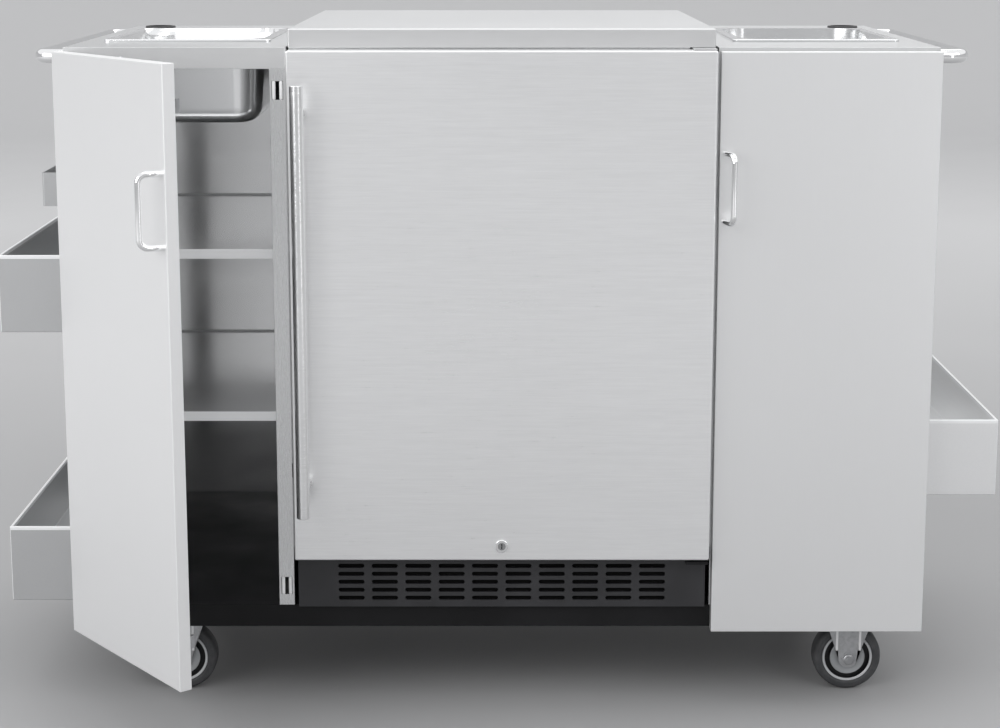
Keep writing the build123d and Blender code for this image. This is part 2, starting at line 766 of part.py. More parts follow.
# Stainless skin of the refrigerator door, open behind, slotted below for the lock's cam.
skin_x = dw - sheet
skin_y0 = fdoor_front + sheet
skin_y1 = fdoor_back - 5
skin_z0 = fdoor_z0 + sheet
barrel_r = plug_r + barrel_t
cam_y = fdoor_front + 20.5
with BuildPart() as fskin:
    block(-dw, dw, fdoor_front, skin_y1, fdoor_z0, fdoor_z1)
    fillet(fskin.edges().filter_by(Axis.Y), radius=3)
    fillet(fskin.faces().sort_by(Axis.Y)[0].edges(), radius=2.5)
    block(-skin_x, skin_x, skin_y0, skin_y1, skin_z0, fdoor_z1 - sheet, Mode.SUBTRACT)
    rod_z(fhinge_x, fhinge_y, fdoor_z0, fdoor_z1, fhinge_pin_r + run_gap, Mode.SUBTRACT)
    rod_y(0, fdoor_front, skin_y0, lock_z, barrel_r + 0.1, Mode.SUBTRACT)
    block(-cam_w / 2 - 2, cam_l - 2, cam_y - 1.5, cam_y + 4, fdoor_z0, skin_z0, Mode.SUBTRACT)
save(fskin.part, "fridge_door_skin")

# Moulded liner of the door with a raised dike and two bottle ledges.
dike_x = lw - 23
dike_y = fdoor_back + 30
dike_z0 = mouth_z0 + 23
dike_z1 = ceiling - 20
bay_x = dike_x - 15
with BuildPart() as fliner:
    block(-dw, dw, skin_y1, fdoor_back, fdoor_z0, fdoor_z1)
    block(-dike_x, dike_x, fdoor_back, dike_y, dike_z0, dike_z1)
    fillet(fliner.faces().sort_by(Axis.Y)[-1].edges(), radius=8)
    block(-bay_x, bay_x, fdoor_back, dike_y, dike_z0 + 15, dike_z1 - 15, Mode.SUBTRACT)
    for z in (dike_z0 + 30, (dike_z0 + dike_z1) / 2 + 10):
        block(-bay_x, bay_x, fdoor_back, dike_y - 4, z, z + 4)
        block(-bay_x, bay_x, dike_y - 7, dike_y - 4, z, z + 45)
save(fliner.part, "fridge_door_liner")

# Magnetic gasket, kept inside the hinge axis.
gx = fhinge_x - 1.5
gz0 = fdoor_z0 + 15
gz1 = fdoor_z1 - 12
hole_x = gx - gasket_w
with BuildPart() as gasket:
    block(-gx, gx, fdoor_back, case_y0, gz0, gz1)
    block(-hole_x, hole_x, fdoor_back, case_y0, gz0 + gasket_w, gz1 - gasket_w, Mode.SUBTRACT)
save(gasket.part, "fridge_gasket")

# Tubular handle on two posts.
bar_x = -dw + bar_in
bar_y = fdoor_front - bar_off
bar_z0 = fdoor_z0 + bar_low
bar_z1 = fdoor_z1 - bar_high
with BuildPart() as bar:
    rod_z(bar_x, bar_y, bar_z0, bar_z1, bar_r)
    fillet(bar.edges(), radius=1)
    for z in (bar_z0 + bar_post_in, bar_z1 - bar_post_in):
        rod_y(bar_x, bar_y, fdoor_front, z, bar_r - 3.5)
        rod_y(bar_x, fdoor_front - 3, fdoor_front, z, bar_r - 0.5)
save(bar.part, "fridge_handle")

# Door lock: a fixed barrel with its collar, and the plug with its cam.
lock_y = fdoor_front - lock_collar
with BuildPart() as barrel:
    rod_y(0, lock_y, fdoor_front, lock_z, barrel_r + 2)
    fillet(barrel.faces().sort_by(Axis.Y)[0].edges(), radius=1.2)
    rod_y(0, fdoor_front, cam_y - 0.5, lock_z, barrel_r)
    rod_y(0, lock_y, cam_y - 0.5, lock_z, plug_r + run_gap, Mode.SUBTRACT)
save(barrel.part, "lock_barrel")
with BuildPart() as plug:
    rod_y(0, lock_y + 0.4, cam_y + 0.5, lock_z, plug_r)
    block(-0.8, 0.8, lock_y + 0.4, lock_y + 3, lock_z - 4, lock_z + 4, Mode.SUBTRACT)
    block(-cam_w / 2, cam_l, cam_y, cam_y + 2.5, lock_z - cam_w / 2, lock_z + cam_w / 2)
save(plug.part, "lock_plug")

# Dark rubber pad in the gap beside the refrigerator door.
pad_z = deck_z + 193
with BuildPart() as pad:
    block(-hb, -hb + fdoor_fit - 2.1, -3, 12, pad_z, pad_z + 20)
save(pad.part, "divider_pad")

# Casters: plates, kingpins and bolts fixed to the base.
caster_spots = {
    "fl": (-caster_x, caster_y),
    "fr": (caster_x, caster_y),
    "rl": (-caster_x, body_d - caster_y),
    "rr": (caster_x, body_d - caster_y),
}
plate_z = caster_h - plate_t
race_z = plate_z - 7
nut_z = yoke_z - 0.4
with BuildPart() as plates:
    for x, y in caster_spots.values():
        block(x - plate_l / 2, x + plate_l / 2, y - plate_w / 2, y + plate_w / 2, plate_z, caster_h)
        rod_z(x, y, race_z, plate_z, race_r + 3)
        rod_z(x, y, yoke_z, plate_z, kingpin_r)
        rod_z(x, y, nut_z - 3.1, nut_z, kingpin_r + 3)
        rod_z(x, y, nut_z, yoke_z, kingpin_r)
        for dx in (10 - plate_l / 2, plate_l / 2 - 10):
            for dy in (10 - plate_w / 2, plate_w / 2 - 10):
                with BuildSketch(Plane((x + dx, front_y + y + dy, plate_z - 2.5))):
                    RegularPolygon(6.5, 6)
                extrude(amount=2.5)
save(plates.part, "caster_plates")

leg_y = wheel_w / 2 + 2.5
leg_out = leg_y + fork_t


def fork(x, y):
    # Swivel fork: race, yoke and two tapered legs with ribs, carrying the axle bolt.
    ax = x + trail
    with BuildPart() as f:
        rod_z(x, y, yoke_z + 4, race_z - 0.4, race_r)
        block(x - race_r - 2, ax + 33, y - leg_out, y + leg_out, yoke_z, yoke_z + 4)
        for s in (-1, 1):
            y0 = y + s * leg_y
            y1 = y + s * leg_out
            with BuildSketch(Plane.XZ.offset(-front_y - y0)):
                with BuildLine():
                    Polyline(
                        (ax - 33, yoke_z),
                        (ax + 33, yoke_z),
                        (ax + 29, yoke_z - 12),
                        (ax + 12, wheel_r - 6),
                        (ax - 12, wheel_r - 6),
                        (ax - 29, yoke_z - 12),
                        close=True,
                    )
                make_face()
                with Locations((ax, wheel_r)):
                    Circle(axle_r + 10)
            extrude(amount=-s * fork_t)
            for dx in (-17, 17):
                block(ax + dx - 1.5, ax + dx + 1.5, y1, y1 + s * 1.5, wheel_r + 13, yoke_z + 2)
        rod_z(x, y, yoke_z, race_z - 0.4, kingpin_r + run_gap, Mode.SUBTRACT)
        rod_y(ax, y - leg_out, y + leg_out, wheel_r, axle_r + run_gap, Mode.SUBTRACT)
        rod_y(ax, y - leg_out - 5, y + leg_out + 8, wheel_r, axle_r)
        rod_y(ax, y - leg_out - 5, y - leg_out, wheel_r, axle_r + 3.5)
        rod_y(ax, y + leg_out, y + leg_out + 6, wheel_r, axle_r + 3.5)
    return f.part


def tyre(x, y):
    # Grey rubber tread ring.
    with BuildPart() as ring:
        rod_y(x + trail, y - wheel_w / 2, y + wheel_w / 2, wheel_r, wheel_r)
        fillet(ring.edges().filter_by(GeomType.CIRCLE), radius=5)
        rod_y(x + trail, y - wheel_w / 2, y + wheel_w / 2, wheel_r, rim_r, Mode.SUBTRACT)
    return ring.part


def hub(x, y):
    # Wheel centre with a groove round a raised disc on each face.
    ax = x + trail
    half = wheel_w / 2 - 1.5
    with BuildPart() as core:
        rod_y(ax, y - half, y + half, wheel_r, rim_r)
        for s in (-1, 1):
            rod_y(ax, y + s * (half - groove_h), y + s * half, wheel_r, rim_r - 4, Mode.SUBTRACT)
            rod_y(ax, y + s * (half - groove_h), y + s * (half + 1), wheel_r, rim_r - 11.5)
        rod_y(ax, y - leg_y + 0.5, y + leg_y - 0.5, wheel_r, axle_r + 5)
        rod_y(ax, y - leg_y, y + leg_y, wheel_r, axle_r + run_gap, Mode.SUBTRACT)
    return core.part


for name, (x, y) in caster_spots.items():
    save(fork(x, y), f"caster_fork_{name}")
    save(tyre(x, y), f"caster_tyre_{name}")
    save(hub(x, y), f"caster_hub_{name}")
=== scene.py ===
import json
import math

import bmesh
import bpy
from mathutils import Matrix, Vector


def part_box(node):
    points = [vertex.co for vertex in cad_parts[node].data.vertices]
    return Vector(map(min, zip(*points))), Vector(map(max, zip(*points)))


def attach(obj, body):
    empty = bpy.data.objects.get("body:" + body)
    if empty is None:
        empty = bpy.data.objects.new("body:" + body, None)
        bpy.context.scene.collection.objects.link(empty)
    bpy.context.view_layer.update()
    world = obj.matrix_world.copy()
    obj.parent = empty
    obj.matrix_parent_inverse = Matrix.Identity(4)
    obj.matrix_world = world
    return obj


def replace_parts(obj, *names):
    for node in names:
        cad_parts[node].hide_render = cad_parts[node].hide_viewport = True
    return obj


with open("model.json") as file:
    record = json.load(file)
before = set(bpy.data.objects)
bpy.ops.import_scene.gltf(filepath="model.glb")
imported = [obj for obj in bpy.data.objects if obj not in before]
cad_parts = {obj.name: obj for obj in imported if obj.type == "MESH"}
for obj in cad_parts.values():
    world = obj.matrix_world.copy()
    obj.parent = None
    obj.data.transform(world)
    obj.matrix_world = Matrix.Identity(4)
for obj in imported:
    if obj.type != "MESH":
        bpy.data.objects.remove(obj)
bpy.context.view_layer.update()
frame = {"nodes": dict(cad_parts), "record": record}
nodes = frame["nodes"]


# Studio: a pale floor that curves up into a low round wall, two softboxes left and right of the
# camera, a narrow lit panel on the right, one softbox above the cart and one behind it.
class Tone:
    """A socket of a node tree. Arithmetic on it adds Math nodes to the same tree."""

    def __init__(self, tree, socket):
        self.tree = tree
        self.socket = socket

    def node(self, kind, settings=None, sockets=None):
        made = self.tree.nodes.new(kind)
        for key, value in (settings or {}).items():
            setattr(made, key, value)
        for key, value in (sockets or {}).items():
            if isinstance(value, Tone):
                self.tree.links.new(value.socket, made.inputs[key])
            else:
                made.inputs[key].default_value = value
        return made

    def out(self, kind, settings=None, sockets=None, socket=0):
        return Tone(self.tree, self.node(kind, settings, sockets).outputs[socket])

    def maths(self, operation, first, second):
        return self.out("ShaderNodeMath", {"operation": operation}, {0: first, 1: second})

    def __add__(self, other):
        return self.maths("ADD", self, other)

    __radd__ = __add__

    def __mul__(self, other):
        return self.maths("MULTIPLY", self, other)

    __rmul__ = __mul__

    def over(self, low, high):
        ends = {"Value": self, "From Min": low, "From Max": high}
        return self.out("ShaderNodeMapRange", {"clamp": True}, ends)


class Finish:
    """A material with its shader at hand; fixed values are set on the shader's own sockets."""

    def __init__(self, name, **fixed):
        self.material = bpy.data.materials.new(name)
        self.material.use_nodes = True
        self.tree = self.material.node_tree
        self.shader = self.tree.nodes["Principled BSDF"]
        for key, value in fixed.items():
            self.shader.inputs[key.replace("_", " ")].default_value = value
        self.place = Tone(self.tree, self.tree.nodes.new("ShaderNodeTexCoord").outputs["Object"])

    def stretched(self, scale):
        return self.place.out("ShaderNodeMapping", None, {"Vector": self.place, "Scale": scale})

    def noise(self, scale, detail=2.0, at=None):
        sockets = {"Vector": at or self.place, "Scale": scale, "Detail": detail}
        return self.place.out("ShaderNodeTexNoise", None, sockets)

    def mixed(self, amount, low, high):
        sockets = {0: amount, 6: (*low, 1), 7: (*high, 1)}
        return self.place.out("ShaderNodeMix", {"data_type": "RGBA"}, sockets, 2)

    def feed(self, **values):
        for key, value in values.items():
            self.tree.links.new(value.socket, self.shader.inputs[key.replace("_", " ")])

    def bump(self, height, strength, distance):
        sockets = {"Height": height, "Strength": strength, "Distance": distance}
        self.feed(Normal=self.place.out("ShaderNodeBump", None, sockets))


def placed(name, mesh):
    made = bpy.data.objects.new(name, mesh)
    bpy.context.scene.collection.objects.link(made)
    return made


bpy.context.scene.view_settings.view_transform = "Standard"
flat_reach = 8.0
cove_radius = 3.0
cove_steps = 12
wall_top = 4.5
under_wheels = 0.0006
sides = 96
sweep = [(flat_reach, 0.0)]
for step in range(1, cove_steps + 1):
    turn = math.radians(90 / cove_steps * step)
    sweep.append((flat_reach + cove_radius * math.sin(turn), cove_radius - cove_radius * math.cos(turn)))
sweep.append((flat_reach + cove_radius, wall_top))
floor_mesh = bpy.data.meshes.new("studio_floor")
floor_points = [(0, 0, -under_wheels)]
for reach, height in sweep:
    for k in range(sides):
        turn = 2 * math.pi * k / sides
        floor_points.append((reach * math.cos(turn), reach * math.sin(turn), height - under_wheels))
floor_faces = [(0, 1 + k, 1 + (k + 1) % sides) for k in range(sides)]
for ring in range(len(sweep) - 1):
    for k in range(sides):
        a = 1 + ring * sides + k
        b = 1 + ring * sides + (k + 1) % sides
        floor_faces.append((a, a + sides, b + sides, b))
floor_mesh.from_pydata(floor_points, [], floor_faces)
floor_mesh.shade_smooth()
floor = placed("studio_floor", floor_mesh)
floor_finish = Finish("pale_floor", Specular_IOR_Level=0.25)
mottle = floor_finish.noise(1.3, 3.0).over(0.3, 0.7)
outward = floor_finish.place.out("ShaderNodeVectorMath", {"operation": "LENGTH"}, {0: floor_finish.place}, 1)
# The floor's colour darkens towards the cart as a painted shade round it, with a random mottle laid over it.
shade_and_mottle = outward.over(1.2, 5.0) + 0.06 * mottle
floor_finish.feed(
    Base_Color=floor_finish.mixed(shade_and_mottle, (0.36, 0.36, 0.364), (0.6, 0.6, 0.604)),
    Roughness=0.4 + 0.12 * mottle,
)
floor_mesh.materials.append(floor_finish.material)
world = bpy.data.worlds.new("studio_surround")
world.use_nodes = True
surround = world.node_tree.nodes["Background"].inputs
surround["Color"].default_value = (0.92, 0.925, 0.935, 1)
surround["Strength"].default_value = 1.05
bpy.context.scene.world = world
for name, place, aim, wide, tall, watts in (
    ("left_softbox", (-4.0, -3.2, 2.6), (0, 0, 0.7), 5.2, 3.2, 150),
    ("right_softbox", (3.8, -3.4, 3.9), (0.2, 0, 0.7), 4.6, 2.2, 60),
    ("top_softbox", (0.0, -0.6, 4.4), (0, 0, 0.4), 3.0, 2.4, 20),
    ("rear_softbox", (0.8, 4.4, 3.9), (0, 0, 0.3), 3.6, 2.2, 30),
    ("right_panel", (1.9, -2.6, 0.75), (-0.28, -0.2, 0.7), 0.4, 1.3, 2.8),
):
    lamp = bpy.data.lights.new(name, "AREA")
    lamp.shape = "RECTANGLE"
    lamp.size = wide
    lamp.size_y = tall
    lamp.energy = watts
    holder = placed(name, lamp)
    holder.location = place
    holder.rotation_euler = (Vector(aim) - Vector(place)).to_track_quat("-Z", "Y").to_euler()

# Camera: straight in front of the refrigerator door, a little above the worktop and looking
# slightly down, so the pans and the inside of the end rails can be seen.
lens = bpy.data.cameras.new("front_camera")
lens.sensor_width = 36.0
lens.lens = 71.3
lens.shift_y = -0.09
camera = placed("front_camera", lens)
camera.location = (-0.0025, -2.928, 1.132)
looking_down = 10.05
camera.rotation_euler = (math.radians(90 - looking_down), 0, 0)
bpy.context.scene.camera = camera

# Black base under the cabinets: a folded steel deck with a turned-down apron and two channels,
# powder coated, its coat slightly pebbled and its folds just rounded.
body_of_node = {n: b for b, members in frame["record"]["behaviour"]["bodies"].items() for n in members}


def carried(piece, body):
    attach(piece, body)
    return piece


def merged(name):
    """A copy of a solid's mesh with the points that its faces share joined up."""
    shape = bmesh.new()
    shape.from_mesh(nodes[name].data)
    bmesh.ops.remove_doubles(shape, verts=shape.verts[:], dist=2e-6)
    return shape


def eased(name, finish, edge=0.0006, smooth=None):
    """A solid's copy with its folds and edges rounded, or its curved faces smoothed."""
    shape = merged(name)
    bmesh.ops.dissolve_limit(shape, angle_limit=0.0005, verts=shape.verts[:], edges=shape.edges[:])
    if edge:
        sharp = [e for e in shape.edges if len(e.link_faces) == 2 and e.calc_face_angle(0) > 0.9]
        folds = [e for e in sharp if e.calc_length() > 2 * edge]
        bmesh.ops.bevel(
            shape, geom=folds, offset=edge, offset_type="OFFSET", segments=2, profile=0.5, affect="EDGES",
            clamp_overlap=True,
        )
    mesh = bpy.data.meshes.new(name + "_eased")
    shape.to_mesh(mesh)
    shape.free()
    mesh.shade_flat()
    if smooth:
        mesh.shade_smooth()
        mesh.set_sharp_from_angle(angle=math.radians(smooth))
    mesh.materials.append(finish.material)
    piece = carried(placed(name + "_eased", mesh), body_of_node[name])
    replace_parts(piece, name)
    return piece


def powder_coat(name, low, high):
    coat = Finish(name, Specular_IOR_Level=0.2)
    pebble = coat.noise(1400.0, 1.0)
    dust = coat.noise(7.0, 4.0).over(0.35, 0.7)
    coat.feed(Base_Color=coat.mixed(dust, low, high), Roughness=0.4 + 0.16 * dust)
    coat.bump(pebble, 0.18, 0.0004)
    return coat


black_coat = powder_coat("black_powder_coat", (0.005, 0.005, 0.0055), (0.01, 0.01, 0.011))
eased("base_pan", black_coat, 0.0008)


# Caster plates and swivel forks: pressed steel, zinc plated, each fork with two ribs on its
# legs. The plates are bolted up into the channels of the base.
def zinc_plate(name):
    zinc = Finish(name, Metallic=0.9)
    cells = {"Vector": zinc.place, "Scale": 260.0}
    spangle = zinc.place.out("ShaderNodeTexVoronoi", None, cells, 1)
    grey = zinc.place.out("ShaderNodeRGBToBW", None, {"Color": spangle})
    haze = zinc.noise(30.0, 3.0).over(0.3, 0.75)
    zinc.feed(
        Base_Color=zinc.mixed(0.35 * grey + 0.5 * haze, (0.34, 0.345, 0.355), (0.6, 0.605, 0.615)),
        Roughness=0.26 + 0.16 * haze,
    )
    zinc.bump(haze, 0.06, 0.0005)
    return zinc


def refinished(piece, finish, picks):
    """Gives the faces that the test picks, by their middle and facing, another finish."""
    piece.data.materials.append(finish.material)
    last = len(piece.data.materials) - 1
    for face in piece.data.polygons:
        if picks(face.center, face.normal):
            face.material_index = last


def axle_of(wheel):
    low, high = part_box(f"caster_hub_{wheel}")
    return (Vector(low) + Vector(high)) / 2


wheels = ("fl", "fr", "rl", "rr")
leg_outside = 0.0218
rib_inside = 0.014
rib_top = 0.109
leg_low, leg_high = 0.066, 0.106
zinc_finish = zinc_plate("zinc_plate")
# A brighter zinc for the fork ribs and the slanted leg edges: a painted highlight, mottled at random.
rubbed_zinc = Finish("rubbed_zinc", Metallic=0.55)
highlight_mottle = rubbed_zinc.noise(45.0, 2.0).over(0.3, 0.7)
rubbed_zinc.feed(
    Base_Color=rubbed_zinc.mixed(highlight_mottle, (0.88, 0.885, 0.89), (0.96, 0.96, 0.965)), Roughness=0.28 + 0.08 * highlight_mottle
)
eased("caster_plates", zinc_finish, 0.0005)
for w in wheels:
    axle = axle_of(w)

    # Picks the ribs and the slanted leg edges, which take the painted highlight.
    def highlighted(at, way):
        rib = abs(at.y - axle.y) > leg_outside and abs(at.x - axle.x) > rib_inside and at.z < rib_top
        leg_edge = abs(way.x) > 0.3 and abs(way.y) > 0.3 and leg_low < at.z < leg_high
        return rib or leg_edge

    refinished(eased(f"caster_fork_{w}", zinc_finish, 0.0012), rubbed_zinc, highlighted)


# Caster wheels: dark grey rubber tyres with rounded shoulders, moulded on grey centres. A pale
# ring carries the tyre, and the groove round the raised middle is painted near black as painted shade.
def turned(name, outline, centre, steps=80):
    """A closed outline of (radius, along y, finish number) turned round the wheel's axle."""
    mesh = bpy.data.meshes.new(name)
    points = []
    faces = []
    picks = []
    count = len(outline)
    for k in range(steps):
        turn = 2 * math.pi * k / steps
        for radius, along, pick in outline:
            points.append(centre + Vector((radius * math.cos(turn), along, radius * math.sin(turn))))
        for i in range(count):
            j = (i + 1) % count
            m = (k + 1) % steps
            faces.append((k * count + i, k * count + j, m * count + j, m * count + i))
            picks.append(outline[i][2])
    mesh.from_pydata(points, [], faces)
    shape = bmesh.new()
    shape.from_mesh(mesh)
    bmesh.ops.recalc_face_normals(shape, faces=shape.faces[:])
    shape.to_mesh(mesh)
    shape.free()
    mesh.polygons.foreach_set("material_index", picks)
    mesh.shade_smooth()
    mesh.set_sharp_from_angle(angle=math.radians(32))
    return placed(name, mesh)


def both_faces(side):
    """One side's outline in mm, from the outer radius inward, with its mirror image."""
    far = [(r / 1000, -y / 1000, p) for r, y, p in reversed(side)]
    near = [(r / 1000, y / 1000, p) for r, y, p in side]
    after = [p for r, y, p in far[1:] + far[-1:]]
    return near + [(r, y, p) for (r, y, _), p in zip(far, after)]


tyre_side = [
    (50.5, 7.5, 0), (50.1, 9.8, 0), (49.1, 12.2, 0), (47.4, 14.0, 0), (45.2, 15.0, 0), (43.4, 15.2, 0),
    (42.9, 15.6, 0), (41.6, 15.9, 0), (39.0, 15.9, 0), (38.1, 15.4, 0), (37.5, 14.6, 0),
]
# Faces with finish number 2 line the groove and take its painted shade.
centre_side = [
    (37.4, 13.6, 1), (36.8, 14.5, 1), (34.4, 14.5, 1), (33.5, 13.8, 2), (33.4, 5.6, 2), (26.1, 5.6, 2),
    (26.0, 14.6, 0), (25.0, 15.5, 0), (17.0, 15.5, 0), (15.5, 14.9, 0), (11.0, 14.9, 0), (9.0, 15.6, 0),
    (9.0, 17.4, 0), (8.4, 18.0, 0), (4.1, 18.0, 0),
]
tyre_finish = Finish("grey_rubber", Specular_IOR_Level=0.35)
scuff = tyre_finish.noise(55.0, 5.0).over(0.4, 0.75)
tyre_finish.feed(
    Base_Color=tyre_finish.mixed(scuff, (0.05, 0.051, 0.054), (0.085, 0.085, 0.088)),
    Roughness=0.5 + 0.25 * scuff,
)
tyre_finish.bump(tyre_finish.noise(900.0, 2.0), 0.2, 0.0004)


def moulded_plastic(name, low, high, rough, pebble_scale=1100.0):
    plastic = Finish(name, Specular_IOR_Level=0.5)
    bloom = plastic.noise(18.0, 4.0).over(0.35, 0.7)
    plastic.feed(Base_Color=plastic.mixed(bloom, low, high), Roughness=rough + 0.12 * bloom)
    plastic.bump(plastic.noise(pebble_scale, 2.0), 0.14, 0.0003)
    return plastic


centre_grey = moulded_plastic("wheel_centre_grey", (0.27, 0.28, 0.29), (0.35, 0.36, 0.37), 0.34)
ring_grey = moulded_plastic("wheel_ring_grey", (0.46, 0.47, 0.48), (0.56, 0.57, 0.58), 0.26)
# Near black for the groove's faces: painted shade for the depth of the groove.
groove_painted_shade = moulded_plastic("wheel_groove_black", (0.004, 0.004, 0.005), (0.01, 0.01, 0.011), 0.5)
for w in wheels:
    axle = axle_of(w)
    tyre = turned(f"tyre_{w}", both_faces(tyre_side), axle)
    tyre.data.materials.append(tyre_finish.material)
    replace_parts(carried(tyre, f"wheel_{w}"), f"caster_tyre_{w}")
    middle = turned(f"wheel_centre_{w}", both_faces(centre_side), axle)
    for finish in (centre_grey, ring_grey, groove_painted_shade):
        middle.data.materials.append(finish.material)
    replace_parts(carried(middle, f"wheel_{w}"), f"caster_hub_{w}")


# Axle nuts: bright zinc plated hexagon nuts, each on a washer, screwed over both ends of the
# four axle bolts against the legs of the forks.
def nodes_tree(name, inputs):
    tree = bpy.data.node_groups.new(name, "GeometryNodeTree")
    tree.interface.new_socket("Places", in_out="INPUT", socket_type="NodeSocketGeometry")
    for label in inputs:
        kind = "NodeSocketMaterial" if label == "Finish" else "NodeSocketFloat"
        tree.interface.new_socket(label, in_out="INPUT", socket_type=kind)
    tree.interface.new_socket("Pieces", in_out="OUTPUT", socket_type="NodeSocketGeometry")
    given = tree.nodes.new("NodeGroupInput")
    return tree, {label: Tone(tree, given.outputs[label]) for label in ("Places", *inputs)}


def set_out(tree, given, shape):
    """Stands the shape on every place, turned to face the way stored there."""
    way = shape.out("GeometryNodeInputNamedAttribute", {"data_type": "FLOAT_VECTOR"}, {"Name": "facing"})
    turn = shape.out("FunctionNodeAlignRotationToVector", {"axis": "Z"}, {"Vector": way})
    spots = {"Points": given["Places"], "Instance": shape, "Rotation": turn}
    stood = shape.out("GeometryNodeInstanceOnPoints", None, spots)
    solid = shape.out("GeometryNodeRealizeInstances", None, {"Geometry": stood})
    painted = shape.out("GeometryNodeSetMaterial", None, {"Geometry": solid, "Material": given["Finish"]})
    tree.links.new(painted.socket, tree.nodes.new("NodeGroupOutput").inputs["Pieces"])


def joined(first, *others):
    join = first.node("GeometryNodeJoinGeometry")
    for shape in (first, *others):
        first.tree.links.new(shape.socket, join.inputs["Geometry"])
    return Tone(first.tree, join.outputs["Geometry"])


def lifted(shape, x=0.0, y=0.0, z=0.0):
    move = shape.out("ShaderNodeCombineXYZ", None, {"X": x, "Y": y, "Z": z})
    return shape.out("GeometryNodeTransform", None, {"Geometry": shape, "Translation": move})


def grown(name, tree, places, body, slot, **sizes):
    """Evaluates the tree on points that each know which way they face, into a plain mesh."""
    mesh = bpy.data.meshes.new(name + "_places")
    mesh.from_pydata([p for p, facing in places], [], [])
    way = mesh.attributes.new("facing", "FLOAT_VECTOR", "POINT")
    way.data.foreach_set("vector", [c for p, facing in places for c in facing])
    piece = placed(name, mesh)
    grower = piece.modifiers.new(name, "NODES")
    grower.node_group = tree
    for item in tree.interface.items_tree:
        key = item.name.replace(" ", "_").lower()
        if item.in_out == "INPUT" and key in sizes:
            grower[item.identifier] = sizes[key]
    ready = piece.evaluated_get(bpy.context.evaluated_depsgraph_get())
    result = bpy.data.meshes.new_from_object(ready)
    piece.modifiers.remove(grower)
    piece.data = result
    return carried(piece, body)


nut_tree, nut = nodes_tree(
    "hexagon_nuts", ("Corner radius", "Thickness", "Washer radius", "Stud radius", "Finish")
)
start = nut["Places"]
hexagon = start.out(
    "GeometryNodeMeshCylinder", None,
    {"Vertices": 6, "Radius": nut["Corner radius"], "Depth": nut["Thickness"]},
)
chamfer = start.out(
    "GeometryNodeMeshCone", None,
    {"Vertices": 24, "Radius Top": 0.72 * nut["Corner radius"], "Radius Bottom": 0.86 * nut["Corner radius"],
     "Depth": 0.16 * nut["Thickness"]},
)
washer = start.out(
    "GeometryNodeMeshCylinder", None,
    {"Vertices": 32, "Radius": nut["Washer radius"], "Depth": 0.3 * nut["Thickness"]},
)
stud = start.out(
    "GeometryNodeMeshCylinder", None,
    {"Vertices": 16, "Radius": nut["Stud radius"], "Depth": 0.5 * nut["Thickness"]},
)
set_out(
    nut_tree, nut,
    joined(
        lifted(hexagon, z=0.5 * nut["Thickness"]),
        lifted(chamfer, z=nut["Thickness"]),
        lifted(washer, z=0.15 * nut["Thickness"]),
        lifted(stud, z=1.2 * nut["Thickness"]),
    ),
)
bright_zinc = zinc_plate("bright_zinc")
bright_zinc.shader.inputs["Metallic"].default_value = 1.0
leg_face = Vector((0, 0.0216, 0))
for w in wheels:
    axle = axle_of(w)
    ends = [(axle - leg_face, (0, -1, 0)), (axle + leg_face, (0, 1, 0))]
    grown(
        f"axle_nuts_{w}", nut_tree, ends, f"swivel_{w}", "zinc", corner_radius=0.0088, thickness=0.0052,
        washer_radius=0.0102, stud_radius=0.0042, finish=bright_zinc.material,
    )


# Cabinet sheets: end panels, dividers and shelves of satin stainless, rubbed along the length
# of each sheet before it was folded. The faces inside the cabinets keep the mill's bright finish.
def brushed_steel(name, along, tone, spread=0.05, gloss=0.3, metal=0.85):
    steel = Finish(name, Metallic=metal)
    ways = {"x": (0, 1, 1), "y": (1, 0, 1), "z": (1, 1, 0)}[along]
    hair = steel.noise(1.0, 2.0, steel.stretched([1500 if w else 34 for w in ways])).over(0.25, 0.75)
    streak = steel.noise(1.0, 3.0, steel.stretched([420 if w else 11 for w in ways])).over(0.25, 0.75)
    haze = steel.noise(2.2, 3.0).over(0.3, 0.7)
    light = tuple(min(1.0, c * (1 + spread)) for c in tone)
    dark = tuple(c * (1 - spread) for c in tone)
    steel.feed(
        Base_Color=steel.mixed(0.4 * hair + 0.4 * streak + 0.2 * haze, dark, light),
        Roughness=gloss + 0.08 * hair + 0.015 * streak + 0.03 * haze,
    )
    steel.bump(hair, 0.02, 0.0003)
    return steel


upright_steel = brushed_steel("satin_steel_upright", "z", (0.72, 0.724, 0.728), 0.012, 0.21, 0.95)
level_steel = brushed_steel("satin_steel_level", "x", (0.64, 0.644, 0.648), 0.02, 0.26, 0.95)
mill_bright = Finish("mill_bright_steel", Metallic=0.8)
cloud = mill_bright.noise(5.0, 3.0).over(0.3, 0.7)
mill_bright.feed(
    Base_Color=mill_bright.mixed(cloud, (0.92, 0.922, 0.925), (0.95, 0.952, 0.955)),
    Roughness=0.09 + 0.05 * cloud,
)
# A bright steel for the shelves' front edges and the trays' hems and front corners: a painted highlight.
painted_highlight_edge = brushed_steel("rubbed_edge_steel", "x", (0.93, 0.935, 0.94), 0.005, 0.26, 0.5)
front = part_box("left_counter")[0][1]
sheet_edge = 0.0004
near_end = 0.6
near_back = front + 0.4
past_post = 0.32
for s, side in ((-1, "left"), (1, "right")):

    def inside(at, way):
        end_wall = way.x * s < -0.9 and abs(at.x) > near_end
        back_wall = way.y < -0.9 and at.y > near_back and abs(at.x) < near_end
        return end_wall or back_wall

    refinished(eased(f"{side}_side_panel", upright_steel, sheet_edge), mill_bright, inside)
    wall = eased(f"{side}_divider", upright_steel, sheet_edge)
    refinished(wall, mill_bright, lambda at, way: way.x * s > 0.9 and abs(at.x) > past_post)
shelves = eased("cabinet_shelves", level_steel, sheet_edge)
refinished(shelves, mill_bright, lambda at, way: way.z > 0.9)
